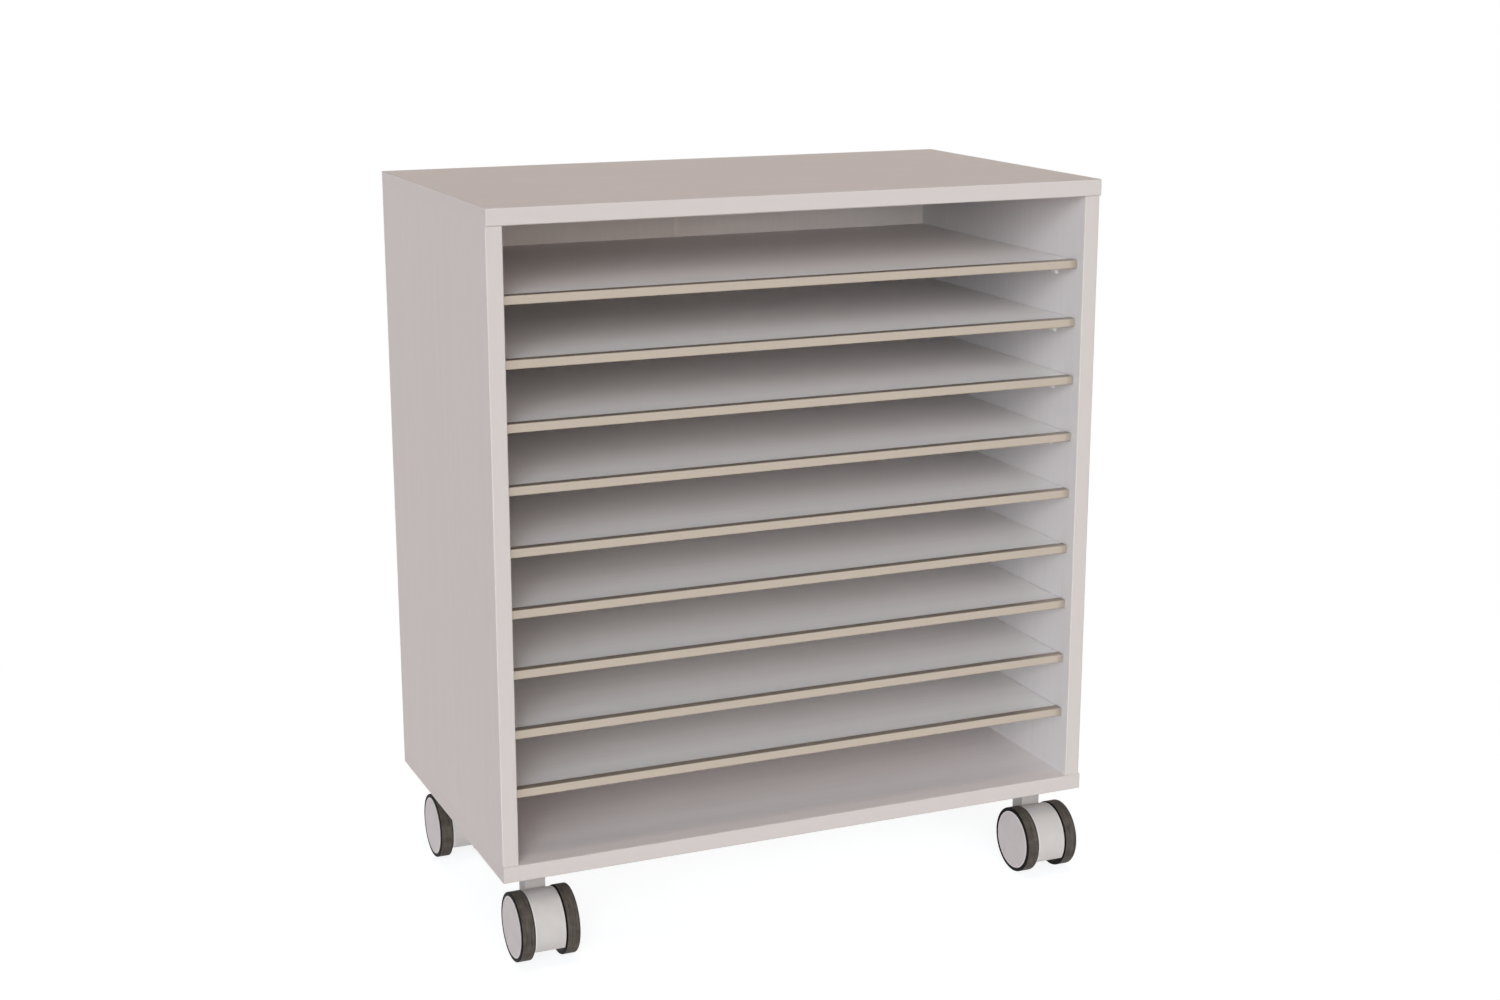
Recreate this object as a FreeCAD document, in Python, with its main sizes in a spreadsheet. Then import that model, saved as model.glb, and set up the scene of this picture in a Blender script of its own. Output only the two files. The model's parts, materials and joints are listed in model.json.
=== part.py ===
import FreeCAD, Part
import math
import os
import Sketcher

# A mobile low shelving unit: a laminated carcass with loose thin shelves, on four twin-wheel castors.
# Millimetres, +Z up, front towards -Y. The origin is on the floor under the middle of the outline:
# the front wheels reach past the carcass, so the carcass stands a little behind the origin.

# Driving dimensions, with what each one measures.
DIMENSIONS = {
    "width": (700, "carcass, left to right"),
    "depth": (400, "carcass, front to back"),
    "carcass_height": (708, "carcass, from the underside of the bottom panel to the top"),
    "board": (18, "thickness of the carcass boards"),
    "edge_round": (1.5, "rounding of the banded front edges"),
    "side_setback": (2.5, "side panels behind the front of the top and bottom panels"),
    "back_thickness": (3, "thickness of the back panel halves"),
    "back_setback": (13, "back panel in from the rear edges of the carcass"),
    "groove_depth": (6, "groove that holds the back panel"),
    "strip_width": (6, "joining strip of the back panel, across its flanges"),
    "strip_wall": (0.8, "thickness of that strip's flanges"),
    "strip_web": (1.2, "web of that strip, between the two halves"),
    "dowel_diameter": (8, "wooden dowels of the carcass corners"),
    "dowel_length": (30, "length of a dowel"),
    "dowel_in_panel": (12, "part of a dowel in the top or bottom panel"),
    "dowel_margin": (50, "first and last dowel in from the front and rear edges"),
    "shelf_board": (8, "thickness of a shelf board"),
    "shelf_pitch": (65.25, "from one shelf to the next"),
    "bottom_clear": (69, "clear height under the lowest shelf's trim"),
    "shelf_recess": (15, "front of the shelf trims behind the carcass front"),
    "shelf_side_gap": (1, "gap between a shelf's end and the side panel"),
    "shelf_back_gap": (2, "gap between a shelf and the back panel"),
    "trim_wall": (0.8, "wall of the metal trim on a shelf's front edge"),
    "trim_lip": (10, "how far the trim reaches over and under the board"),
    "trim_round": (1.6, "rounding of the trim's front corners"),
    "support_inset": (45, "shelf supports in from the shelf's front and back"),
    "support_reach": (8, "shelf support, out from the side panel"),
    "support_width": (10, "shelf support, front to back"),
    "support_height": (12, "shelf support, top to bottom"),
    "support_nose": (3, "height of a shelf support's free end"),
    "support_heel": (2.7, "flat foot of a shelf support, out from the side panel"),
    "support_round": (1, "rounding of a shelf support's edges"),
    "pin_diameter": (5, "pin of a shelf support"),
    "pin_depth": (8, "how far that pin goes into the side panel"),
    "castor_height": (96, "floor to the underside of the bottom panel"),
    "castor_inset": (45, "swivel axis in from the carcass edges"),
    "castor_width": (65, "castor, across its two wheels"),
    "trail": (26.5, "wheel axle in front of the swivel axis"),
    "wheel_diameter": (75, "over the tyre"),
    "tyre_width": (15, "tyre, along the axle"),
    "tyre_depth": (4, "thickness of the tyre"),
    "tyre_round": (1.2, "rounding of the tyre's shoulders"),
    "cap_thickness": (3, "cover disc on a wheel's outer face"),
    "cap_gap": (0.1, "between the cover disc and the tyre"),
    "cap_round": (0.9, "rounding of the cover disc's rim"),
    "rim_wall": (3, "thickness of a wheel's rim and web"),
    "hub_diameter": (18, "hub round a wheel's bore"),
    "axle_diameter": (8, "steel wheel axle"),
    "axle_end_gap": (0.5, "between the axle's end and the cover disc"),
    "running_gap": (0.05, "radial clearance of a turning fit"),
    "hood_gap": (0.5, "between the hood and a wheel"),
    "hood_diameter": (73, "round hood between the wheels"),
    "hood_cut": (19, "flat underside of the hood below the axle"),
    "hood_wall": (3, "wall of the hollow hood"),
    "hood_round": (1, "rounding of the hood's rims and the neck's corners"),
    "boss_diameter": (16, "boss round the axle inside the hood"),
    "neck": (22.6, "square neck of the hood, across its sides"),
    "neck_gap": (0.3, "between the neck and the stem's collar"),
    "collar_diameter": (18, "collar of the stem, against the bottom panel"),
    "collar_height": (2, "height of that collar"),
    "pivot_diameter": (10, "pivot of the stem in the neck"),
    "pivot_length": (30, "length of that pivot"),
    "pivot_end_gap": (1, "room under the pivot in the neck"),
    "thread_diameter": (8, "threaded end of the stem"),
    "nut_diameter": (12, "insert nut in the bottom panel"),
    "nut_length": (13, "length of the insert nut"),
}
SHELF_COUNT = 9
SUPPORT_COLUMNS = 2
DOWELS_PER_JOINT = 3
JOINTS_PER_SIDE = 2
SIDES = ("left", "right")
CASTORS = ("front_left", "front_right", "rear_left", "rear_right")
WHEELS = ("outer", "inner")

doc = FreeCAD.newDocument("mobile_shelving_unit")
sheet = doc.addObject("Spreadsheet::Sheet", "dim")
for row, (alias, (size, meaning)) in enumerate(DIMENSIONS.items(), start=1):
    sheet.set(f"A{row}", meaning)
    sheet.set(f"B{row}", str(size))
    sheet.setAlias(f"B{row}", alias)
doc.recompute()

# Places that several pieces share, as expressions of the driving dimensions.
OVERHANG = "(dim.trail + dim.wheel_diameter / 2 - dim.castor_inset)"
FRONT = f"(({OVERHANG} - dim.depth) / 2)"
BACK_FACE = f"({FRONT} + dim.depth - dim.back_setback - dim.back_thickness)"
INNER_WIDTH = "(dim.width - 2 * dim.board)"
INNER_HEIGHT = "(dim.carcass_height - 2 * dim.board)"
INNER_BOTTOM = "(dim.castor_height + dim.board)"
INNER_TOP = f"({INNER_BOTTOM} + {INNER_HEIGHT})"
TRIM_HEIGHT = "(dim.shelf_board + 2 * dim.trim_wall)"
TRIM_FRONT = f"({FRONT} + dim.shelf_recess)"
SHELF_LENGTH = f"({INNER_WIDTH} - 2 * dim.shelf_side_gap)"
SHELF_BACK = f"({BACK_FACE} - dim.shelf_back_gap)"
FRONT_SUPPORT = f"({TRIM_FRONT} + dim.support_inset)"
REAR_SUPPORT = f"({SHELF_BACK} - dim.support_inset)"
LOWEST_BOARD = f"({INNER_BOTTOM} + dim.bottom_clear + dim.trim_wall)"
SHELF_SPREAD = f"({SHELF_COUNT - 1} * dim.shelf_pitch)"
PIN_DROP = "(dim.support_height / 2)"
SWIVEL_X = "(dim.width / 2 - dim.castor_inset)"
SWIVEL_FRONT = f"({FRONT} + dim.castor_inset)"
SWIVEL_REAR = f"({FRONT} + dim.depth - dim.castor_inset)"
AXLE_HEIGHT = "(dim.wheel_diameter / 2)"
WHEEL_OUTSIDE = "(dim.castor_width / 2)"
WHEEL_INSIDE = "(dim.castor_width / 2 - dim.tyre_width)"
CAP_SEAT = f"({WHEEL_OUTSIDE} - dim.cap_thickness)"
RIM_RADIUS = f"({AXLE_HEIGHT} - dim.tyre_depth)"
HOOD_WIDTH = f"(2 * ({WHEEL_INSIDE} - dim.hood_gap))"
NECK_TOP = "(dim.castor_height - dim.collar_height - dim.neck_gap)"
PIVOT_END = "(dim.castor_height - dim.collar_height - dim.pivot_length)"

# Sketch geometry that constraints refer to: the origin, and the points of a line or circle.
ORIGIN = -1
START = 1
END = 2
CENTRE = 3

subparts = []


def value(expression):
    """The number that an expression of the driving dimensions stands for."""
    return float(sheet.evalExpression(expression))


def bind(item, **expressions):
    """Ties properties of an object to the driving dimensions."""
    for name, expression in expressions.items():
        item.setExpression(name, expression)


def place(item, x, y, z, turn=0):
    """Puts an object at x, y, z, given as expressions, turned about the vertical by degrees."""
    vertical = FreeCAD.Vector(0, 0, 1)
    item.Placement = FreeCAD.Placement(FreeCAD.Vector(), FreeCAD.Rotation(vertical, turn))
    for axis, expression in zip("xyz", (x, y, z)):
        item.setExpression(f".Placement.Base.{axis}", expression)


def keep(item, label):
    """Names a finished sub-part."""
    item.Label = label
    subparts.append(item)


def new_body(name):
    return doc.addObject("PartDesign::Body", name)


def origin_feature(body, role):
    """One of the body's own origin planes or axes."""
    return next(feature for feature in body.Origin.OriginFeatures if feature.Role == role)


def sketch_on(body, plane, offset="0"):
    """An empty sketch on an origin plane of the body, moved along the plane's normal by an offset."""
    sketch = body.newObject("Sketcher::SketchObject", "Sketch")
    sketch.AttachmentSupport = [(origin_feature(body, plane), "")]
    sketch.MapMode = "FlatFace"
    sketch.setExpression(".AttachmentOffset.Base.z", offset)
    return sketch


def hold(sketch, constraint, name, expression):
    """Adds a constraint whose size follows an expression."""
    index = sketch.addConstraint(constraint)
    sketch.renameConstraint(index, name)
    sketch.setExpression(f"Constraints.{name}", expression)


def hold_point(sketch, geometry, point, x, y):
    """Holds a point of the sketch at x, y from the sketch's origin."""
    for kind, expression in (("DistanceX", x), ("DistanceY", y)):
        constraint = Sketcher.Constraint(kind, ORIGIN, START, geometry, point, value(expression))
        hold(sketch, constraint, f"{kind}_{geometry}", expression)


def outline(body, plane, corners, offset="0"):
    """A closed sketch of straight lines through the corners, each a pair of expressions."""
    sketch = sketch_on(body, plane, offset)
    points = [FreeCAD.Vector(value(x), value(y), 0) for x, y in corners]
    following = points[1:] + points[:1]
    for start, end in zip(points, following):
        sketch.addGeometry(Part.LineSegment(start, end))
    for index, (x, y) in enumerate(corners):
        sketch.addConstraint(Sketcher.Constraint("Coincident", index, END, (index + 1) % len(corners), START))
        hold_point(sketch, index, START, x, y)
    return sketch


def rectangle(body, plane, low, high, offset="0"):
    """A closed sketch of a rectangle between two opposite corners."""
    corners = [low, (high[0], low[1]), high, (low[0], high[1])]
    return outline(body, plane, corners, offset)


def circles(body, plane, centres, radius, offset="0"):
    """A sketch of equal circles round the centres."""
    sketch = sketch_on(body, plane, offset)
    for index, (x, y) in enumerate(centres):
        centre = FreeCAD.Vector(value(x), value(y), 0)
        sketch.addGeometry(Part.Circle(centre, FreeCAD.Vector(0, 0, 1), value(radius)))
        hold_point(sketch, index, CENTRE, x, y)
        hold(sketch, Sketcher.Constraint("Radius", index, value(radius)), f"Radius_{index}", radius)
    return sketch


def extrude(body, kind, sketch, length, backwards=False, both_ways=False):
    """A pad or pocket of the sketch, over the given length."""
    feature = body.newObject(f"PartDesign::{kind}", kind)
    feature.Profile = sketch
    feature.Reversed = backwards
    feature.Midplane = both_ways
    bind(feature, Length=length)
    doc.recompute()
    return feature


def turn_about(body, kind, sketch, axis):
    """A full revolution or groove of the sketch about an origin axis of the body."""
    feature = body.newObject(f"PartDesign::{kind}", kind)
    feature.Profile = sketch
    feature.ReferenceAxis = (origin_feature(body, axis), [""])
    doc.recompute()


def round_edges(body, radius, wanted):
    """Rounds the edges of the body so far that the test picks."""
    solid = body.Tip
    names = [f"Edge{index}" for index, edge in enumerate(solid.Shape.Edges, start=1) if wanted(edge)]
    feature = body.newObject("PartDesign::Fillet", "Fillet")
    feature.Base = (solid, names)
    bind(feature, Radius=radius)
    doc.recompute()


def runs_along(edge, axis):
    """Whether a straight edge lies along axis 0, 1 or 2."""
    if edge.Curve.TypeId != "Part::GeomLine":
        return False
    return math.isclose(abs(edge.Curve.Direction[axis]), 1, abs_tol=1e-6)


def lies_at(edge, axis, distance):
    """Whether the middle of an edge's box is at a distance along axis 0, 1 or 2."""
    return math.isclose(edge.BoundBox.Center[axis], distance, abs_tol=1e-3)


def lies_beside(edge, axis, distance):
    """Whether the middle of an edge's box is at a distance to either side along axis 0, 1 or 2."""
    return math.isclose(abs(edge.BoundBox.Center[axis]), distance, abs_tol=1e-3)


def on_circle(edge, radius):
    """Whether an edge is a round one of that radius."""
    return edge.Curve.TypeId == "Part::GeomCircle" and math.isclose(edge.Curve.Radius, radius, abs_tol=1e-3)


def box(name, size, x, y, z):
    """A plain block with its lowest corner at x, y, z."""
    block = doc.addObject("Part::Box", name)
    bind(block, Length=size[0], Width=size[1], Height=size[2])
    place(block, x, y, z)
    return block


def repeat_along(body, axis, count, length, features=()):
    """Repeats features, or the whole body so far, evenly over a length along an origin axis of the body."""
    row = body.newObject("PartDesign::LinearPattern", "Row")
    row.TransformMode = "Features" if features else "Whole shape"
    row.Originals = list(features)
    row.Direction = (origin_feature(body, axis), [""])
    row.Occurrences = count
    bind(row, Length=length)
    body.Tip = row
    doc.recompute()


def mirror_across(body, plane):
    """Adds the mirror image of the whole body so far across an origin plane of the body."""
    image = body.newObject("PartDesign::Mirrored", "Mirrored")
    image.TransformMode = "Whole shape"
    image.MirrorPlane = (origin_feature(body, plane), [""])
    body.Tip = image
    doc.recompute()


def dowel_rows():
    """Distances of the dowels from the carcass front, as expressions."""
    gaps = DOWELS_PER_JOINT - 1
    spread = "(dim.depth - 2 * dim.dowel_margin)"
    return [f"(dim.dowel_margin + {index} * {spread} / {gaps})" for index in range(DOWELS_PER_JOINT)]


def flat_panel(label, is_top):
    """The top or bottom panel, with its inner face on the body's own ground plane."""
    body = new_body(label)
    board = rectangle(body, "XY_Plane", ("0", "0"), ("dim.width", "dim.depth"))
    extrude(body, "Pad", board, "dim.board", not is_top)
    groove_low = ("dim.board - dim.groove_depth", "dim.depth - dim.back_setback - dim.back_thickness")
    groove_high = ("dim.width - dim.board + dim.groove_depth", "dim.depth - dim.back_setback")
    groove = rectangle(body, "XY_Plane", groove_low, groove_high)
    extrude(body, "Pocket", groove, "dim.groove_depth", is_top)
    ends = ("dim.board / 2", "dim.width - dim.board / 2")
    dowels = circles(body, "XY_Plane", [(x, y) for x in ends for y in dowel_rows()], "dim.dowel_diameter / 2")
    extrude(body, "Pocket", dowels, "dim.dowel_in_panel", is_top)
    if not is_top:
        drill_for_nuts(body)
    round_edges(body, "dim.edge_round", lambda edge: runs_along(edge, 0) and lies_at(edge, 1, 0))
    place(body, "-dim.width / 2", FRONT, INNER_TOP if is_top else INNER_BOTTOM)
    keep(body, label)


def drill_for_nuts(body):
    """Blind holes for the castors' insert nuts, from the underside of the bottom panel."""
    across = ("dim.castor_inset", "dim.width - dim.castor_inset")
    along = ("dim.castor_inset", "dim.depth - dim.castor_inset")
    centres = [(x, y) for x in across for y in along]
    holes = circles(body, "XY_Plane", centres, "dim.nut_diameter / 2", "-dim.board")
    extrude(body, "Pocket", holes, "dim.nut_length", True)


def side_panel(side):
    """A side panel, with its inner face on the body's own side plane and its foot at zero."""
    is_right = side == "right"
    label = f"{side}_side_panel"
    body = new_body(label)
    length = "(dim.depth - dim.side_setback)"
    board = rectangle(body, "YZ_Plane", ("0", "0"), (length, INNER_HEIGHT))
    extrude(body, "Pad", board, "dim.board", not is_right)
    groove_low = (f"{length} - dim.back_setback - dim.back_thickness", "0")
    groove_high = (f"{length} - dim.back_setback", INNER_HEIGHT)
    groove = rectangle(body, "YZ_Plane", groove_low, groove_high)
    extrude(body, "Pocket", groove, "dim.groove_depth", is_right)
    drill_for_dowels(body, "dim.board / 2" if is_right else "-dim.board / 2")
    drill_for_pins(body, is_right)
    round_edges(body, "dim.edge_round", lambda edge: runs_along(edge, 2) and lies_at(edge, 1, 0))
    inner_face = f"{INNER_WIDTH} / 2"
    place(body, inner_face if is_right else f"-{inner_face}", f"{FRONT} + dim.side_setback", INNER_BOTTOM)
    keep(body, label)


def drill_for_dowels(body, middle):
    """Dowel holes in both ends of a side panel, along the middle of its thickness."""
    depth = "dim.dowel_length - dim.dowel_in_panel"
    centres = [(middle, f"{row} - dim.side_setback") for row in dowel_rows()]
    foot = circles(body, "XY_Plane", centres, "dim.dowel_diameter / 2")
    extrude(body, "Pocket", foot, depth, True)
    head = circles(body, "XY_Plane", centres, "dim.dowel_diameter / 2", INNER_HEIGHT)
    extrude(body, "Pocket", head, depth)


def drill_for_pins(body, is_right):
    """Two columns of blind holes for the shelf supports' pins."""
    lowest = f"{LOWEST_BOARD} - {PIN_DROP} - {INNER_BOTTOM}"
    panel_front = f"({FRONT} + dim.side_setback)"
    centres = [(f"{row} - {panel_front}", lowest) for row in (FRONT_SUPPORT, REAR_SUPPORT)]
    sketch = circles(body, "YZ_Plane", centres, "dim.pin_diameter / 2")
    holes = extrude(body, "Pocket", sketch, "dim.pin_depth", is_right)
    repeat_along(body, "Z_Axis", SHELF_COUNT, SHELF_SPREAD, [holes])


def back_panels():
    """The two thin halves of the back, let into the grooves all round."""
    half = f"(({INNER_WIDTH} - dim.strip_web) / 2 + dim.groove_depth)"
    size = (half, "dim.back_thickness", f"{INNER_HEIGHT} + 2 * dim.groove_depth")
    foot = f"{INNER_BOTTOM} - dim.groove_depth"
    left = box("left_half", size, f"-dim.strip_web / 2 - {half}", BACK_FACE, foot)
    right = box("right_half", size, "dim.strip_web / 2", BACK_FACE, foot)
    halves = doc.addObject("Part::Compound", "back_panels")
    halves.Links = [left, right]
    keep(halves, "back_panels")


def back_joining_strip():
    """The strip with an H section that clasps both halves of the back."""
    body = new_body("back_joining_strip")
    flange = "dim.strip_width / 2"
    web = "dim.strip_web / 2"
    front = "-dim.strip_wall"
    rear = "dim.back_thickness + dim.strip_wall"
    right_side = [(flange, front), (flange, "0"), (web, "0"), (web, "dim.back_thickness")]
    right_side += [(flange, "dim.back_thickness"), (flange, rear)]
    left_side = [(f"-{x}", y) for x, y in reversed(right_side)]
    extrude(body, "Pad", outline(body, "XY_Plane", right_side + left_side), INNER_HEIGHT)
    place(body, "0", BACK_FACE, INNER_BOTTOM)
    keep(body, "back_joining_strip")


def shelf_height(index):
    """Underside of a shelf's board, counted from the lowest shelf up."""
    return f"({LOWEST_BOARD} + {index} * dim.shelf_pitch)"


def shelf(index):
    """A thin loose board, behind its trim."""
    front = f"({TRIM_FRONT} + dim.trim_wall)"
    size = (SHELF_LENGTH, f"{SHELF_BACK} - {front}", "dim.shelf_board")
    label = f"shelf_{index + 1}"
    keep(box(label, size, f"-{SHELF_LENGTH} / 2", front, shelf_height(index)), label)


def shelf_trim(index):
    """The metal channel on a shelf's front edge, open to the back."""
    label = f"shelf_trim_{index + 1}"
    body = new_body(label)
    wall = "dim.trim_wall"
    back = "dim.trim_wall + dim.trim_lip"
    inside_top = f"{TRIM_HEIGHT} - dim.trim_wall"
    lower_lip = [("0", "0"), (back, "0"), (back, wall), (wall, wall)]
    upper_lip = [(wall, inside_top), (back, inside_top), (back, TRIM_HEIGHT), ("0", TRIM_HEIGHT)]
    extrude(body, "Pad", outline(body, "YZ_Plane", lower_lip + upper_lip), SHELF_LENGTH)
    round_edges(body, "dim.trim_round", lambda edge: runs_along(edge, 0) and lies_at(edge, 1, 0))
    place(body, f"-{SHELF_LENGTH} / 2", TRIM_FRONT, f"{shelf_height(index)} - dim.trim_wall")
    keep(body, label)


def shelf_supports():
    """Push-in supports, four to a shelf: a pin in the side panel and a wedge that carries the board."""
    body = new_body("shelf_supports")
    panel = f"-{INNER_WIDTH} / 2"
    heel = f"{panel} + dim.support_heel"
    nose = f"{panel} + dim.support_reach"
    top = PIN_DROP
    foot = f"{PIN_DROP} - dim.support_height"
    wedge = [(panel, foot), (heel, foot), (nose, f"{top} - dim.support_nose"), (nose, top), (panel, top)]
    extrude(body, "Pad", outline(body, "XZ_Plane", wedge), "dim.support_width", both_ways=True)
    round_edges(body, "dim.support_round", lambda edge: is_under_wedge(edge, value(panel), value(top)))
    pin = circles(body, "YZ_Plane", [("0", "0")], "dim.pin_diameter / 2", panel)
    extrude(body, "Pad", pin, "dim.pin_depth", True)
    repeat_along(body, "Y_Axis", SUPPORT_COLUMNS, f"{REAR_SUPPORT} - {FRONT_SUPPORT}")
    repeat_along(body, "Z_Axis", SHELF_COUNT, SHELF_SPREAD)
    mirror_across(body, "YZ_Plane")
    place(body, "0", FRONT_SUPPORT, f"{LOWEST_BOARD} - {PIN_DROP}")
    keep(body, "shelf_supports")


def is_under_wedge(edge, panel, top):
    """Whether an edge of a support's wedge is off the side panel and below the face under the board."""
    return edge.BoundBox.XMax > panel and edge.BoundBox.ZMax < top


def carcass_dowels():
    """Glued dowels that join the side panels to the top and bottom panels."""
    body = new_body("carcass_dowels")
    middle = "(dim.width - dim.board) / 2"
    centres = [(x, y) for x in (f"-{middle}", middle) for y in dowel_rows()]
    section = circles(body, "XY_Plane", centres, "dim.dowel_diameter / 2")
    extrude(body, "Pad", section, "dim.dowel_length")
    rise = f"{INNER_HEIGHT} + 2 * dim.dowel_in_panel - dim.dowel_length"
    repeat_along(body, "Z_Axis", JOINTS_PER_SIDE, rise)
    place(body, "0", FRONT, f"{INNER_BOTTOM} - dim.dowel_in_panel")
    keep(body, "carcass_dowels")


def castor_spot(castor):
    """Swivel axis of a castor, as expressions of x and y."""
    x = f"-{SWIVEL_X}" if castor.endswith("left") else SWIVEL_X
    y = SWIVEL_FRONT if castor.startswith("front") else SWIVEL_REAR
    return x, y


def axle_spot(castor):
    """Middle of a castor's axle, as expressions."""
    x, y = castor_spot(castor)
    return x, f"{y} - dim.trail", AXLE_HEIGHT


def castor_insert_nuts():
    """Threaded inserts, flush with the underside of the bottom panel."""
    body = new_body("castor_insert_nuts")
    spots = [castor_spot(castor) for castor in CASTORS]
    extrude(body, "Pad", circles(body, "XY_Plane", spots, "dim.nut_diameter / 2"), "dim.nut_length")
    thread = circles(body, "XY_Plane", spots, "dim.thread_diameter / 2")
    extrude(body, "Pocket", thread, "dim.nut_length", True)
    place(body, "0", "0", "dim.castor_height")
    keep(body, "castor_insert_nuts")


def castor_stems():
    """Fixed stems: a thread in the insert nut, a collar under the panel and a pivot for the hood."""
    body = new_body("castor_stems")
    spots = [castor_spot(castor) for castor in CASTORS]
    thread = circles(body, "XY_Plane", spots, "dim.thread_diameter / 2")
    extrude(body, "Pad", thread, "dim.nut_length")
    collar = circles(body, "XY_Plane", spots, "dim.collar_diameter / 2")
    extrude(body, "Pad", collar, "dim.collar_height", True)
    pivot = circles(body, "XY_Plane", spots, "dim.pivot_diameter / 2")
    extrude(body, "Pad", pivot, "dim.collar_height + dim.pivot_length", True)
    place(body, "0", "0", "dim.castor_height")
    keep(body, "castor_stems")


def castor_hood(castor):
    """The hollow round hood between the wheels, with the square neck that turns on the stem."""
    label = f"{castor}_castor_hood"
    body = new_body(label)
    radius = "dim.hood_diameter / 2"
    extrude(body, "Pad", circles(body, "YZ_Plane", [("0", "0")], radius), HOOD_WIDTH, both_ways=True)
    round_edges(body, "dim.hood_round", lambda edge: on_circle(edge, value(radius)))
    inside = f"{HOOD_WIDTH} / 2 - dim.hood_wall"
    hollow_low = (f"-({inside})", "dim.boss_diameter / 2")
    hollow_high = (inside, f"{radius} - dim.hood_wall")
    turn_about(body, "Groove", rectangle(body, "XY_Plane", hollow_low, hollow_high), "X_Axis")
    underside_low = (f"-{radius}", f"-{radius}")
    underside_high = (radius, "-dim.hood_cut")
    underside = rectangle(body, "YZ_Plane", underside_low, underside_high)
    extrude(body, "Pocket", underside, HOOD_WIDTH, both_ways=True)
    add_neck(body)
    axle_hole = circles(body, "YZ_Plane", [("0", "0")], "dim.axle_diameter / 2")
    extrude(body, "Pocket", axle_hole, HOOD_WIDTH, both_ways=True)
    place(body, *axle_spot(castor))
    keep(body, label)


def add_neck(body):
    """The square neck, behind the axle by the trail, with the blind bore for the stem's pivot."""
    top = f"({NECK_TOP} - {AXLE_HEIGHT})"
    low = ("-dim.neck / 2", "dim.trail - dim.neck / 2")
    high = ("dim.neck / 2", "dim.trail + dim.neck / 2")
    extrude(body, "Pad", rectangle(body, "XY_Plane", low, high), top)
    corner = value("dim.neck / 2")
    round_edges(body, "dim.hood_round", lambda edge: runs_along(edge, 2) and lies_beside(edge, 0, corner))
    bore = circles(body, "XY_Plane", [("0", "dim.trail")], "dim.pivot_diameter / 2 + dim.running_gap", top)
    extrude(body, "Pocket", bore, f"{NECK_TOP} - {PIVOT_END} + dim.pivot_end_gap")


def castor_axle(castor):
    """The steel axle, pressed into the hood's boss, that carries both wheels."""
    label = f"{castor}_castor_axle"
    body = new_body(label)
    section = circles(body, "YZ_Plane", [("0", "0")], "dim.axle_diameter / 2")
    extrude(body, "Pad", section, f"2 * ({CAP_SEAT} - dim.axle_end_gap)", both_ways=True)
    place(body, *axle_spot(castor))
    keep(body, label)


def turned_piece(castor, wheel, piece, section, rounding=None, rounded_radius=None):
    """A piece of a wheel, turned about the axle from a section of pairs: along the axle, and out from it."""
    label = f"{castor}_{wheel}_{piece}"
    body = new_body(label)
    turn_about(body, "Revolution", outline(body, "XY_Plane", section), "X_Axis")
    if rounding:
        round_edges(body, rounding, lambda edge: on_circle(edge, value(rounded_radius)))
    faces_left = castor.endswith("left") == (wheel == "outer")
    place(body, *axle_spot(castor), turn=180 if faces_left else 0)
    keep(body, label)


def castor_wheel(castor, wheel):
    """A wheel: a dished core with its hub, the tyre on its rim, and the disc that covers its outside."""
    bore = "dim.axle_diameter / 2 + dim.running_gap"
    hub = "dim.hub_diameter / 2"
    web = f"{CAP_SEAT} - dim.rim_wall"
    rim = f"{RIM_RADIUS} - dim.rim_wall"
    core = [(WHEEL_INSIDE, bore), (CAP_SEAT, bore), (CAP_SEAT, RIM_RADIUS), (WHEEL_INSIDE, RIM_RADIUS)]
    core += [(WHEEL_INSIDE, rim), (web, rim), (web, hub), (WHEEL_INSIDE, hub)]
    turned_piece(castor, wheel, "wheel", core)
    tread = AXLE_HEIGHT
    tyre = [(WHEEL_INSIDE, RIM_RADIUS), (WHEEL_OUTSIDE, RIM_RADIUS)]
    tyre += [(WHEEL_OUTSIDE, tread), (WHEEL_INSIDE, tread)]
    turned_piece(castor, wheel, "tyre", tyre, "dim.tyre_round", tread)
    disc = f"{RIM_RADIUS} - dim.cap_gap"
    cap = [(CAP_SEAT, "0"), (WHEEL_OUTSIDE, "0"), (WHEEL_OUTSIDE, disc), (CAP_SEAT, disc)]
    turned_piece(castor, wheel, "wheel_cap", cap, "dim.cap_round", disc)


def check():
    """Stops if an object failed or a sub-part isn't whole."""
    doc.recompute()
    for item in doc.Objects:
        if {"Invalid", "Error"} & set(item.State):
            raise RuntimeError(f"{item.Label} failed: {item.State}")
    for item in subparts:
        if item.Shape.isNull() or not item.Shape.isValid() or not item.Shape.Solids:
            raise RuntimeError(f"{item.Label} has no valid solid")


flat_panel("top_panel", True)
flat_panel("bottom_panel", False)
for side in SIDES:
    side_panel(side)
back_panels()
back_joining_strip()
for index in range(SHELF_COUNT):
    shelf(index)
    shelf_trim(index)
shelf_supports()
carcass_dowels()
castor_insert_nuts()
castor_stems()
for castor in CASTORS:
    castor_hood(castor)
    castor_axle(castor)
    for wheel in WHEELS:
        castor_wheel(castor, wheel)

check()
os.makedirs("parts", exist_ok=True)
for item in subparts:
    item.Shape.exportStep(f"parts/{item.Label}.step")
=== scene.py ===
"""Looks of the mobile low shelving unit: finishes of all pieces, a white floor, soft light and a camera."""

import json
import math

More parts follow.
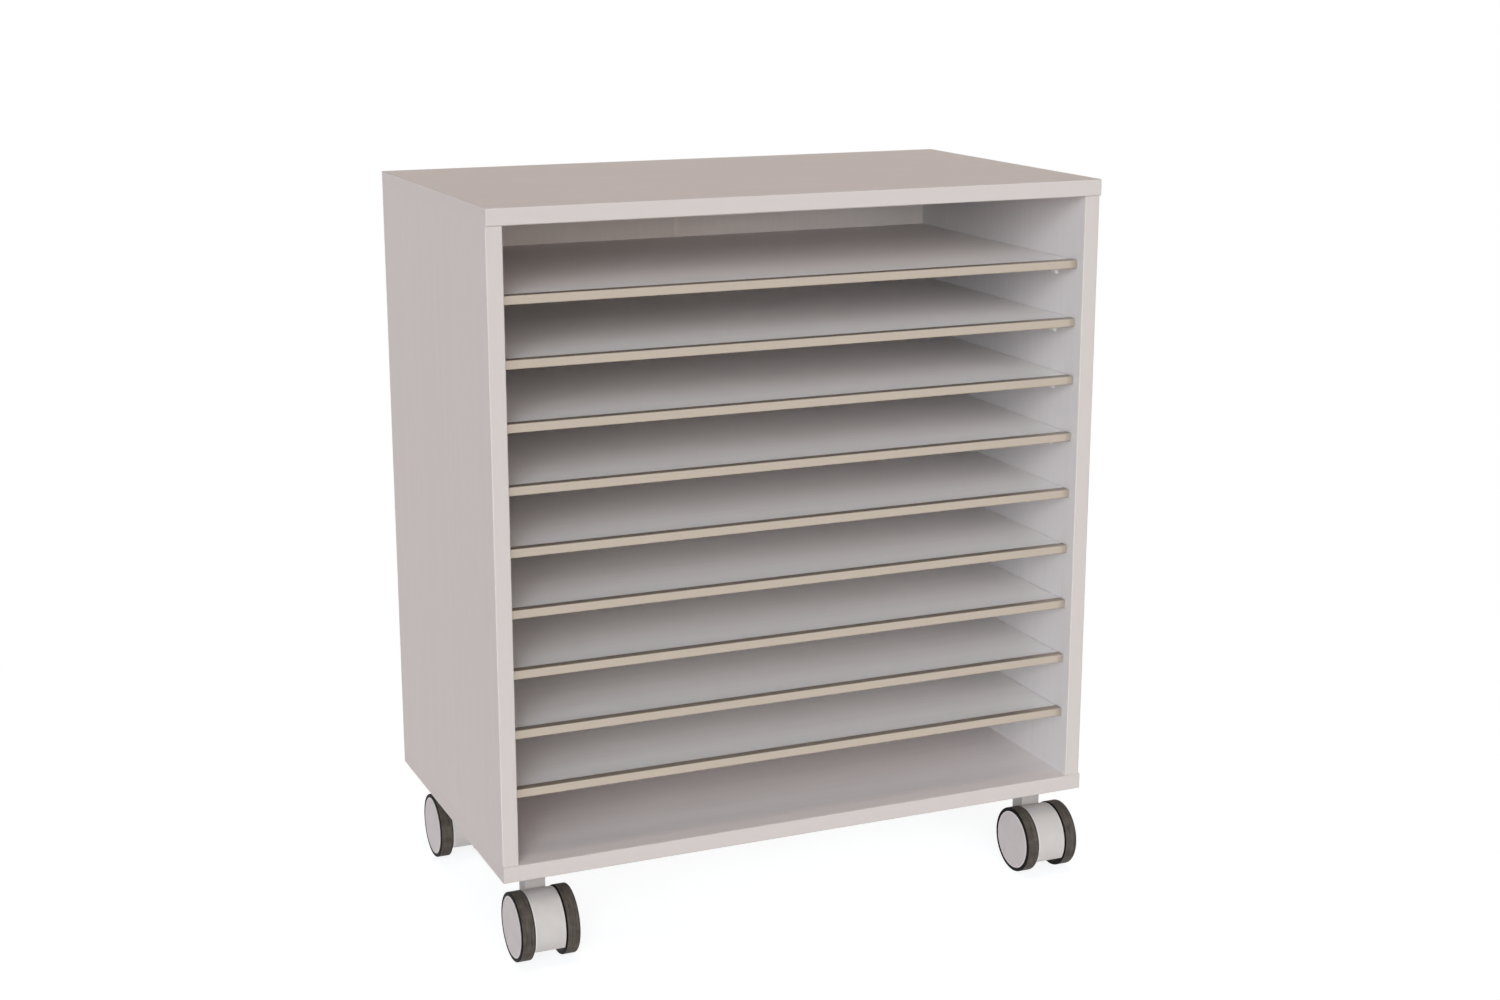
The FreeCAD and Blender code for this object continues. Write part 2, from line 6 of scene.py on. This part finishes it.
import bpy
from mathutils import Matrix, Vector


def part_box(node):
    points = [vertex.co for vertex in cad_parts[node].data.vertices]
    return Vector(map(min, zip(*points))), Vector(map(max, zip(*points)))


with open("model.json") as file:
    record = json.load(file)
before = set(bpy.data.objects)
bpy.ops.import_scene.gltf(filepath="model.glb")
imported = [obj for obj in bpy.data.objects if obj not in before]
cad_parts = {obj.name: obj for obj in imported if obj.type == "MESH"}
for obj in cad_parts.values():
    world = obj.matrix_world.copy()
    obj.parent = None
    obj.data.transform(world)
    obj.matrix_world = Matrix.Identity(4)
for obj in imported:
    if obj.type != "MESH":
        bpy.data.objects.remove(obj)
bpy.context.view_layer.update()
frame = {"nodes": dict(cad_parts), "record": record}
nodes = frame["nodes"]
slot_of = {part["node"]: part["material_slot"] for part in frame["record"]["subparts"]}

MM = 0.001
X, Y, Z = range(3)


# Colours


def display(level):
    """A display level from 0 to 255 as the linear value that a shader takes, by the sRGB curve."""
    share = level / 255
    if share <= 0.04045:
        return share / 12.92
    return ((share + 0.055) / 1.055) ** 2.4


def shade(red, green, blue):
    """A colour written in display levels."""
    return (display(red), display(green), display(blue), 1.0)


def times(colour, factor):
    """The same colour, darker or lighter."""
    return tuple(channel * factor for channel in colour[:3]) + (1.0,)


# Nodes that finishes are made of

# The Mix node has sockets for several kinds of value, and these are the places of those for colours.
MIX_FIRST = 6
MIX_SECOND = 7
MIX_RESULT = 2

# Most of a noise's values lie in this span.
NOISE_SPAN = (0.35, 0.65)


class Finish:
    """A material of one shader, with short ways to make the nodes that feed it."""

    def __init__(self, name, metallic=0.0, specular=0.5):
        self.material = bpy.data.materials.new(name)
        self.material.use_nodes = True
        self.nodes = self.material.node_tree.nodes
        self.shader = self.nodes["Principled BSDF"]
        self.shader.inputs["Metallic"].default_value = metallic
        self.shader.inputs["Specular IOR Level"].default_value = specular
        self.coordinates = self.nodes.new("ShaderNodeTexCoord")

    def join(self, socket, value):
        """Links a socket to another node's output, or sets it to a plain value."""
        if isinstance(value, bpy.types.NodeSocket):
            self.material.node_tree.links.new(value, socket)
        else:
            socket.default_value = value

    def math(self, operation, *values):
        """Arithmetic on numbers that change over the surface."""
        node = self.nodes.new("ShaderNodeMath")
        node.operation = operation
        for socket, value in zip(node.inputs, values):
            self.join(socket, value)
        return node.outputs["Value"]

    def blend(self, first, second, share):
        """A share of the first number, and the rest from the second."""
        first_part = self.math("MULTIPLY", first, share)
        second_part = self.math("MULTIPLY", second, 1 - share)
        return self.math("ADD", first_part, second_part)

    def along(self, axis, space="Object"):
        """A point's coordinate along one axis: metres in Object space, 0 to 1 in Generated space."""
        node = self.nodes.new("ShaderNodeSeparateXYZ")
        self.join(node.inputs["Vector"], self.coordinates.outputs[space])
        return node.outputs[axis]

    def from_middle(self, axis, size):
        """How far a point is from the middle of its piece along one axis, for a piece of a given size."""
        offset = self.math("SUBTRACT", self.along(axis, "Generated"), 0.5)
        return self.math("MULTIPLY", self.math("ABSOLUTE", offset), size)

    def from_faces(self, faces):
        """How far a point is from the nearest of some faces, each an axis and a place along it."""
        gaps = []
        for axis, place in faces:
            offset = self.math("SUBTRACT", self.along(axis), place)
            gaps.append(self.math("ABSOLUTE", offset))
        nearest = gaps[0]
        for gap in gaps[1:]:
            nearest = self.math("MINIMUM", nearest, gap)
        return nearest

    def noise(self, sizes, seed=0.0, detail=2.0):
        """Uneven values about 0.5, in blobs of the given sizes in metres along X, Y and Z."""
        spread = self.nodes.new("ShaderNodeVectorMath")
        spread.operation = "DIVIDE"
        self.join(spread.inputs[0], self.coordinates.outputs["Object"])
        spread.inputs[1].default_value = sizes
        noise = self.nodes.new("ShaderNodeTexNoise")
        noise.noise_dimensions = "4D"
        noise.inputs["Scale"].default_value = 1.0
        noise.inputs["W"].default_value = seed
        noise.inputs["Detail"].default_value = detail
        self.join(noise.inputs["Vector"], spread.outputs["Vector"])
        return noise.outputs["Fac"]

    def ramp(self, value, span, results=(0.0, 1.0)):
        """The first result up to the start of a span, the second past its end, an even slope between."""
        node = self.nodes.new("ShaderNodeMapRange")
        names = ("From Min", "From Max", "To Min", "To Max")
        for name, setting in zip(names, (*span, *results)):
            node.inputs[name].default_value = setting
        self.join(node.inputs["Value"], value)
        return node.outputs["Result"]

    def mix(self, factor, first, second):
        """The first colour at a factor of 0, the second at 1."""
        node = self.nodes.new("ShaderNodeMix")
        node.data_type = "RGBA"
        self.join(node.inputs["Factor"], factor)
        self.join(node.inputs[MIX_FIRST], first)
        self.join(node.inputs[MIX_SECOND], second)
        return node.outputs[MIX_RESULT]

    def tones(self, value, span, colour, factors):
        """A colour that goes from the first of two tones of it to the second over a span of values."""
        first, second = (times(colour, factor) for factor in factors)
        return self.mix(self.ramp(value, span), first, second)

    def spots(self, tone, spot, value, span, share):
        """A tone with a share of a second colour where a value is past a span."""
        return self.mix(self.ramp(value, span, (0.0, share)), tone, spot)

    def paint(self, colour, roughness):
        """Gives the shader its colour and its roughness."""
        self.join(self.shader.inputs["Base Color"], colour)
        self.join(self.shader.inputs["Roughness"], roughness)

    def relief(self, height, depth):
        """A fine unevenness of the given depth in metres."""
        bump = self.nodes.new("ShaderNodeBump")
        bump.inputs["Strength"].default_value = 1.0
        bump.inputs["Distance"].default_value = depth
        self.join(bump.inputs["Height"], height)
        self.join(self.shader.inputs["Normal"], bump.outputs["Normal"])


def size_of(node, axis):
    """A CAD node's length along one axis."""
    low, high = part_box(node)
    return high[axis] - low[axis]


def dress(node, material):
    """Gives a CAD node its finish."""
    for place in nodes[node].material_slots:
        place.material = material


# Laminated boards

# The carcass boards are one laminate, and their tones differ as painted light and shade: each is set to how
# light or dark that board shows under the lamps, the right side cooler than the left. The shelves and back
# are set in the same way to how bright they show in the bays.
TOP_LAMINATE = shade(234, 224, 220)
BOTTOM_LAMINATE = shade(235, 228, 227)
LEFT_LAMINATE = shade(225, 214, 211)
RIGHT_LAMINATE = shade(226, 220, 220)
BACK_LAMINATE = shade(241, 233, 229)
SHELF_LAMINATE = shade(242, 238, 237)
BOARD_SHINE = 0.02
BOARD_ROUGHNESS = (0.66, 0.56)
SHELF_SEED = 10
BACK_SEED = 30

# The grain is fine lines over broad ones.
GRAIN_LENGTH = 45 * MM
GRAIN_WIDTH = 1.1 * MM
GRAIN_DEPTH = 0.03 * MM
GRAIN_SPAN = (0.3, 0.7)
GRAIN_TONES = (0.965, 1.03)
FINE_SHARE = 0.6
BROAD_WIDTH = 5 * GRAIN_WIDTH
BROAD_SEED = 0.5

# Short dark pores lie in the grain, and wide faint clouds over it.
PORE_WIDTH = 0.45 * GRAIN_WIDTH
PORE_SPAN = (0.66, 0.74)
PORE_SHARE = 0.3
PORE_TONE = 0.86
PORE_SEED = 0.8
CLOUD_SIZE = 130 * MM
CLOUD_SHARE = 0.25
CLOUD_TONE = 0.97

# Edge bands are plain, with a thin line of glue beside them. Their tones are painted light and shade as
# well: the front band is a darker copy of the laminate, and the end bands take the left side's lit tone.
FRONT_BAND = shade(213, 205, 202)
END_BAND = times(LEFT_LAMINATE, 0.985)
BAND_DEPTH = 1.2 * MM
GLUE_LINE = 0.12 * MM
GLUE_SHARE = 0.5
GLUE_TONE = 0.6


def line_sizes(direction, width):
    """Blob sizes of lines of one width along one axis, as long for their width as the grain is."""
    sizes = [width] * 3
    sizes[direction] = width * GRAIN_LENGTH / GRAIN_WIDTH
    return sizes


def laminate(name, colour, direction, seed, bands=()):
    """Satin laminate with a fine grain, and plain edge bands, each a colour and the faces that have it."""
    finish = Finish(name, specular=BOARD_SHINE)
    fine = finish.noise(line_sizes(direction, GRAIN_WIDTH), seed, detail=3.0)
    broad = finish.noise(line_sizes(direction, BROAD_WIDTH), seed + BROAD_SEED, detail=1.0)
    pores = finish.noise(line_sizes(direction, PORE_WIDTH), seed + PORE_SEED)
    cloud = finish.noise((CLOUD_SIZE,) * 3, seed)
    grain = finish.blend(fine, broad, FINE_SHARE)
    face = finish.tones(grain, GRAIN_SPAN, colour, GRAIN_TONES)
    face = finish.spots(face, times(colour, PORE_TONE), pores, PORE_SPAN, PORE_SHARE)
    face = finish.spots(face, times(colour, CLOUD_TONE), cloud, NOISE_SPAN, CLOUD_SHARE)
    for band, faces in bands:
        gap = finish.from_faces(faces)
        face = finish.mix(finish.math("LESS_THAN", gap, BAND_DEPTH), face, band)
        glue = finish.math("COMPARE", gap, BAND_DEPTH, GLUE_LINE)
        face = finish.mix(finish.math("MULTIPLY", glue, GLUE_SHARE), face, times(band, GLUE_TONE))
    finish.paint(face, finish.ramp(grain, GRAIN_SPAN, BOARD_ROUGHNESS))
    finish.relief(grain, GRAIN_DEPTH)
    return finish.material


def carcass_laminate(node, colour, direction, seed):
    """A carcass board's laminate, with edge bands on its front and on its ends where they show."""
    low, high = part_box(node)
    bands = [(FRONT_BAND, [(Y, low[Y])])]
    if direction == X:
        bands.insert(0, (END_BAND, [(X, low[X]), (X, high[X])]))
    return laminate(f"laminate_{node}", colour, direction, seed, bands)


for seed, (node, colour, direction) in enumerate((
    ("top_panel", TOP_LAMINATE, X),
    ("bottom_panel", BOTTOM_LAMINATE, X),
    ("left_side_panel", LEFT_LAMINATE, Z),
    ("right_side_panel", RIGHT_LAMINATE, Z),
)):
    dress(node, carcass_laminate(node, colour, direction, seed))

shelves = [node for node in nodes if slot_of[node] == "shelf_board"]
for seed, node in enumerate(sorted(shelves), SHELF_SEED):
    dress(node, laminate(f"laminate_{node}", SHELF_LAMINATE, X, seed))

dress("back_panels", laminate("laminate_back", BACK_LAMINATE, Z, BACK_SEED))


# Metal

CHAMPAGNE = shade(194, 182, 168)
ZINC = shade(186, 188, 190)
BRUSH_WIDTH = 0.35 * MM
BRUSH_DEPTH = 0.01 * MM
BRUSH_SPAN = (0.3, 0.7)
BRUSH_TONES = (0.94, 1.04)
BRUSH_ROUGHNESS = (0.24, 0.17)
TARNISH_SIZE = 60 * MM
TARNISH_SPAN = (0.4, 0.7)
TARNISH_SHARE = 0.3
TARNISH_TONE = 0.94


def brushed_metal(name, colour, direction, metallic=1.0, flat_shine=1.0):
    """Metal with fine brush lines along one axis; flat_shine is the share of shine left at a flat angle."""
    finish = Finish(name, metallic)
    finish.shader.inputs["Specular Tint"].default_value = (flat_shine,) * 3 + (1.0,)
    lines = finish.noise(line_sizes(direction, BRUSH_WIDTH), detail=4.0)
    tarnish = finish.noise((TARNISH_SIZE,) * 3, seed=2.0)
    tone = finish.tones(lines, BRUSH_SPAN, colour, BRUSH_TONES)
    tone = finish.spots(tone, times(colour, TARNISH_TONE), tarnish, TARNISH_SPAN, TARNISH_SHARE)
    finish.paint(tone, finish.ramp(lines, BRUSH_SPAN, BRUSH_ROUGHNESS))
    finish.relief(lines, BRUSH_DEPTH)
    return finish.material


# Plastic

WHITE_PLASTIC = shade(240, 239, 237)
STRIP_PLASTIC = times(BACK_LAMINATE, 1.07)
BLACK_PLASTIC = shade(20, 19, 20)
FLOW_SIZE = 18 * MM
FLOW_TONES = (0.97, 1.03)
FLOW_SEED = 0.5
TEXTURE_SIZE = 0.5 * MM
TEXTURE_DEPTH = 0.02 * MM
TEXTURE_ROUGHNESS = 0.06

# The castors' hoods and discs are two shades of a grey plastic, with painted highlights along their rims.
# The neck is painted in shade, as it lies under the bottom panel. Its foot is two heights above the floor,
# between which the hood's tone turns into the neck's painted shade.
HOOD_PLASTIC = shade(206, 201, 199)
HOOD_SEED = 1.0
HOOD_HIGHLIGHT_RIM = 1.1 * MM
HOOD_HIGHLIGHT_TONE = 1.3
NECK_DEPTH = 23 * MM
NECK_FOOT = (62 * MM, 71 * MM)
NECK_SHADE_TONE = 0.8
DISC_PLASTIC = shade(214, 204, 204)
DISC_SEED = 2.0
DISC_HIGHLIGHT_RIM = 1.4 * MM
DISC_HIGHLIGHT_TONE = 1.32
CASTOR_SHINE = 0.2
CASTOR_ROUGHNESS = 0.55


def plastic_tone(finish, colour, seed):
    """A plastic's colour with faint flow marks."""
    flow = finish.noise((FLOW_SIZE,) * 3, seed + FLOW_SEED)
    return finish.tones(flow, NOISE_SPAN, colour, FLOW_TONES)


def mould_texture(finish, roughness, seed):
    """The fine unevenness that a mould leaves, as roughness and as relief."""
    texture = finish.noise((TEXTURE_SIZE,) * 3, seed)
    finish.relief(texture, TEXTURE_DEPTH)
    return finish.ramp(texture, NOISE_SPAN, (roughness - TEXTURE_ROUGHNESS, roughness + TEXTURE_ROUGHNESS))


def moulded_plastic(name, colour, roughness, seed, specular=0.3):
    """Plain moulded plastic."""
    finish = Finish(name, specular=specular)
    finish.paint(plastic_tone(finish, colour, seed), mould_texture(finish, roughness, seed))
    return finish.material


def hood_plastic():
    """Grey plastic with painted highlights on the hood's two rims and painted shade on the neck at its
    rear.
    """
    finish = Finish("hood_plastic", specular=CASTOR_SHINE)
    width = size_of("front_left_castor_hood", X)
    depth = size_of("front_left_castor_hood", Y)
    # The pale rims are a painted highlight: the light that the hood's rounded edges would catch.
    rim_highlight = finish.math("GREATER_THAN", finish.from_middle(X, width), width / 2 - HOOD_HIGHLIGHT_RIM)
    rear_end = finish.math("GREATER_THAN", finish.along(Y, "Generated"), 1 - NECK_DEPTH / depth)
    # The neck's darker tone is painted shade, where the bottom panel above it keeps the light off.
    neck_shade = finish.math("MULTIPLY", rear_end, finish.ramp(finish.along(Z), NECK_FOOT))
    tone = plastic_tone(finish, HOOD_PLASTIC, HOOD_SEED)
    tone = finish.mix(rim_highlight, tone, times(HOOD_PLASTIC, HOOD_HIGHLIGHT_TONE))
    tone = finish.mix(neck_shade, tone, times(HOOD_PLASTIC, NECK_SHADE_TONE))
    finish.paint(tone, mould_texture(finish, CASTOR_ROUGHNESS, HOOD_SEED))
    return finish.material


def disc_plastic():
    """Grey plastic with a painted highlight on the rim round the disc."""
    finish = Finish("disc_plastic", specular=CASTOR_SHINE)
    size = size_of("front_left_outer_wheel_cap", Z)
    squares = [finish.math("POWER", finish.from_middle(axis, size), 2.0) for axis in (Y, Z)]
    radius = finish.math("SQRT", finish.math("ADD", *squares))
    # The pale rim is a painted highlight: the light that the disc's rounded edge would catch.
    rim_highlight = finish.math("GREATER_THAN", radius, size / 2 - DISC_HIGHLIGHT_RIM)
    tone = plastic_tone(finish, DISC_PLASTIC, DISC_SEED)
    tone = finish.mix(rim_highlight, tone, times(DISC_PLASTIC, DISC_HIGHLIGHT_TONE))
    finish.paint(tone, mould_texture(finish, CASTOR_ROUGHNESS, DISC_SEED))
    return finish.material


# Rubber

RUBBER = shade(78, 72, 67)
RUBBER_EDGE = shade(14, 13, 14)
RUBBER_SHINE = 0.08
RUBBER_ROUGHNESS = (0.5, 0.66)
RUBBER_TEXTURE = 0.7 * MM
RUBBER_DEPTH = 0.03 * MM
WEAR_LINE = (0.8 * MM, 25 * MM, 25 * MM)
DUST_SIZE = 9 * MM
LINE_SHARE = 0.6
WEAR_SPAN = (0.36, 0.64)
WEAR_TONES = (0.65, 1.7)
SHOULDER = 0.8 * MM
SHOULDER_FADE = 0.4 * MM


def tyre_rubber():
    """Dark rubber, with worn lines round the tread and black at its two shoulders."""
    finish = Finish("tyre_rubber", specular=RUBBER_SHINE)
    width = size_of("front_left_outer_tyre", X)
    texture = finish.noise((RUBBER_TEXTURE,) * 3, seed=4.0, detail=3.0)
    lines = finish.noise(WEAR_LINE, seed=5.0)
    dust = finish.noise((DUST_SIZE,) * 3, seed=6.0, detail=3.0)
    tone = finish.tones(finish.blend(lines, dust, LINE_SHARE), WEAR_SPAN, RUBBER, WEAR_TONES)
    shoulder_start = width / 2 - SHOULDER
    shoulder_span = (shoulder_start - SHOULDER_FADE, shoulder_start)
    shoulder = finish.ramp(finish.from_middle(X, width), shoulder_span)
    tone = finish.mix(shoulder, tone, RUBBER_EDGE)
    finish.paint(tone, finish.ramp(texture, NOISE_SPAN, RUBBER_ROUGHNESS))
    finish.relief(texture, RUBBER_DEPTH)
    return finish.material


# Wood

BEECH = shade(205, 172, 130)
BEECH_SHINE = 0.3
BEECH_ROUGHNESS = (0.62, 0.5)
FLECK = (0.6 * MM, 0.6 * MM, 4 * MM)
FLECK_DEPTH = 0.05 * MM
FLECK_TONES = (0.85, 1.08)


def beech():
    """Pale turned wood with short flecks."""
    finish = Finish("beech", specular=BEECH_SHINE)
    flecks = finish.noise(FLECK, seed=6.0, detail=3.0)
    tone = finish.tones(flecks, NOISE_SPAN, BEECH, FLECK_TONES)
    finish.paint(tone, finish.ramp(flecks, NOISE_SPAN, BEECH_ROUGHNESS))
    finish.relief(flecks, FLECK_DEPTH)
    return finish.material


# Finishes of everything but the boards, by material slot

finish_of = {
    "champagne_metal": brushed_metal("champagne_metal", CHAMPAGNE, X, metallic=0.6, flat_shine=0.4),
    "zinc_steel": brushed_metal("zinc_steel", ZINC, Z),
    "white_plastic": moulded_plastic("white_plastic", WHITE_PLASTIC, roughness=0.4, seed=0.0),
    "strip_plastic": moulded_plastic("strip_plastic", STRIP_PLASTIC, roughness=0.4, seed=4.0),
    "grey_plastic": hood_plastic(),
    "disc_plastic": disc_plastic(),
    "black_plastic": moulded_plastic("black_plastic", BLACK_PLASTIC, roughness=0.5, seed=3.0, specular=0.1),
    "tyre_rubber": tyre_rubber(),
    "beech": beech(),
}
for node in nodes:
    if slot_of[node] in finish_of:
        dress(node, finish_of[slot_of[node]])


# Floor and surroundings

SEEN_DIRECTLY = ("Is Camera Ray", "Is Glossy Ray", "Is Transmission Ray")
WHITE = 1.0
AMBIENT = 0.05
FLOOR_SIZE = 60.0
FLOOR_COLOUR = (0.8, 0.8, 0.8, 1.0)

# Near the unit, the floor that is seen is a glow plus a matt share that takes the shadow. In the open
# light that falls there the two add up to white, and further out the floor is plain white.
FLOOR_SHADOW_SHARE = 0.3
SHADOW_TINT = (1.0, 1.06, 1.12)
OPEN_FLOOR_LIGHT = 0.5
SHADOW_REACH = (0.5, 1.3)


def seen_directly(tree):
    """1 for what the camera sees, also in a reflection or through glass, and 0 for light on things."""
    path = tree.nodes.new("ShaderNodeLightPath")
    seen = path.outputs[SEEN_DIRECTLY[0]]
    for name in SEEN_DIRECTLY[1:]:
        either = tree.nodes.new("ShaderNodeMath")
        either.operation = "MAXIMUM"
        tree.links.new(seen, either.inputs[0])
        tree.links.new(path.outputs[name], either.inputs[1])
        seen = either.outputs["Value"]
    return seen


def emission(tree, kind, level):
    """A plain white glow of one level."""
    node = tree.nodes.new(kind)
    node.inputs["Color"].default_value = (level, level, level, 1.0)
    node.inputs["Strength"].default_value = 1.0
    return node.outputs[0]


def choose(tree, factor, first, second):
    """The first shader where the factor is 0, and the second where it is 1."""
    node = tree.nodes.new("ShaderNodeMixShader")
    for socket, value in zip(node.inputs, (factor, first, second)):
        tree.links.new(value, socket)
    return node.outputs["Shader"]


def diffuse(tree, colour):
    """A plain matt surface."""
    node = tree.nodes.new("ShaderNodeBsdfDiffuse")
    node.inputs["Color"].default_value = colour
    return node.outputs["BSDF"]


def near_unit(tree):
    """1 on the floor under and about the unit, falling to 0 further out."""
    place = tree.nodes.new("ShaderNodeTexCoord")
    distance = tree.nodes.new("ShaderNodeVectorMath")
    distance.operation = "LENGTH"
    tree.links.new(place.outputs["Object"], distance.inputs[0])
    fade = tree.nodes.new("ShaderNodeMapRange")
    fade.interpolation_type = "SMOOTHSTEP"
    start, end = SHADOW_REACH
    for name, setting in (("From Min", start), ("From Max", end), ("To Min", 1.0), ("To Max", 0.0)):
        fade.inputs[name].default_value = setting
    tree.links.new(distance.outputs["Value"], fade.inputs["Value"])
    return fade.outputs["Result"]


def floor_material():
    """White to the camera but for the unit's shadow, and a plain pale floor to the light."""
    material = bpy.data.materials.new("floor")
    material.use_nodes = True
    tree = material.node_tree
    output = tree.nodes["Material Output"]
    tree.nodes.remove(tree.nodes["Principled BSDF"])
    shadowed = tree.nodes.new("ShaderNodeAddShader")
    glow = emission(tree, "ShaderNodeEmission", WHITE - FLOOR_SHADOW_SHARE * OPEN_FLOOR_LIGHT)
    tree.links.new(glow, shadowed.inputs[0])
    tree.links.new(diffuse(tree, times(SHADOW_TINT, FLOOR_SHADOW_SHARE)), shadowed.inputs[1])
    white = emission(tree, "ShaderNodeEmission", WHITE)
    shown = choose(tree, near_unit(tree), white, shadowed.outputs["Shader"])
    surface = choose(tree, seen_directly(tree), diffuse(tree, FLOOR_COLOUR), shown)
    tree.links.new(surface, output.inputs["Surface"])
    return material


def make_floor():
    """A wide flat floor at the height that the castors stand on."""
    half = FLOOR_SIZE / 2
    corners = [(-half, -half, 0), (half, -half, 0), (half, half, 0), (-half, half, 0)]
    mesh = bpy.data.meshes.new("floor")
    mesh.from_pydata(corners, [], [(0, 1, 2, 3)])
    mesh.materials.append(floor_material())
    floor = bpy.data.objects.new("floor", mesh)
    bpy.context.scene.collection.objects.link(floor)


def make_world():
    """White where it is seen, and an even soft light elsewhere."""
    world = bpy.data.worlds.new("studio")
    world.use_nodes = True
    tree = world.node_tree
    tree.nodes.remove(tree.nodes["Background"])
    soft = emission(tree, "ShaderNodeBackground", AMBIENT)
    white = emission(tree, "ShaderNodeBackground", WHITE)
    surface = choose(tree, seen_directly(tree), soft, white)
    tree.links.new(surface, tree.nodes["World Output"].inputs["Surface"])
    bpy.context.scene.world = world


make_floor()
make_world()


# Light

SOFTNESS = math.radians(28)
NEUTRAL = (1.0, 1.0, 1.0)
COOL = (0.8, 0.92, 1.0)
WARM = (1.0, 0.8, 0.65)


def soft_light(name, azimuth, elevation, level, tint):
    """Soft even light from one side; level is what it adds to a white surface that faces it.

    The azimuth is in degrees from the front, positive to the right, and the elevation in degrees.
    Reflections show the white surroundings and not the lamp, so that it leaves no burnt-out glints.
    """
    data = bpy.data.lights.new(name, "SUN")
    data.angle = SOFTNESS
    data.energy = level * math.pi
    data.color = tint
    light = bpy.data.objects.new(name, data)
    light.rotation_euler = (math.radians(90 - elevation), 0.0, math.radians(azimuth))
    light.visible_glossy = False
    bpy.context.scene.collection.objects.link(light)


soft_light("front", azimuth=-25, elevation=18, level=0.37, tint=NEUTRAL)
soft_light("front_high", azimuth=-25, elevation=40, level=0.14, tint=COOL)
soft_light("front_low", azimuth=0, elevation=3, level=0.22, tint=NEUTRAL)
soft_light("front_left", azimuth=-50, elevation=9, level=0.26, tint=COOL)
soft_light("front_right", azimuth=25, elevation=9, level=0.06, tint=WARM)
soft_light("left", azimuth=-85, elevation=3, level=0.13, tint=NEUTRAL)
soft_light("right", azimuth=115, elevation=2, level=0.45, tint=NEUTRAL)
soft_light("back", azimuth=180, elevation=3, level=0.4, tint=NEUTRAL)
soft_light("ceiling", azimuth=0, elevation=88, level=0.185, tint=WARM)


# Camera

# The width of the image and the focal length are in pixels, the place is in metres and the rest in degrees.
IMAGE_WIDTH = 1500
FOCAL_PIXELS = 2255
CAMERA_PLACE = (-0.985, -2.3115, 1.057)
CAMERA_YAW = 23.36
CAMERA_PITCH = 13.93


def make_camera():
    """A camera left of the front and above the top, turned right and down to the unit."""
    data = bpy.data.cameras.new("camera")
    data.lens = data.sensor_width * FOCAL_PIXELS / IMAGE_WIDTH
    camera = bpy.data.objects.new("camera", data)
    camera.location = CAMERA_PLACE
    camera.rotation_euler = (math.radians(90 - CAMERA_PITCH), 0.0, math.radians(-CAMERA_YAW))
    bpy.context.scene.collection.objects.link(camera)
    bpy.context.scene.camera = camera


make_camera()
bpy.context.scene.view_settings.view_transform = "Standard"
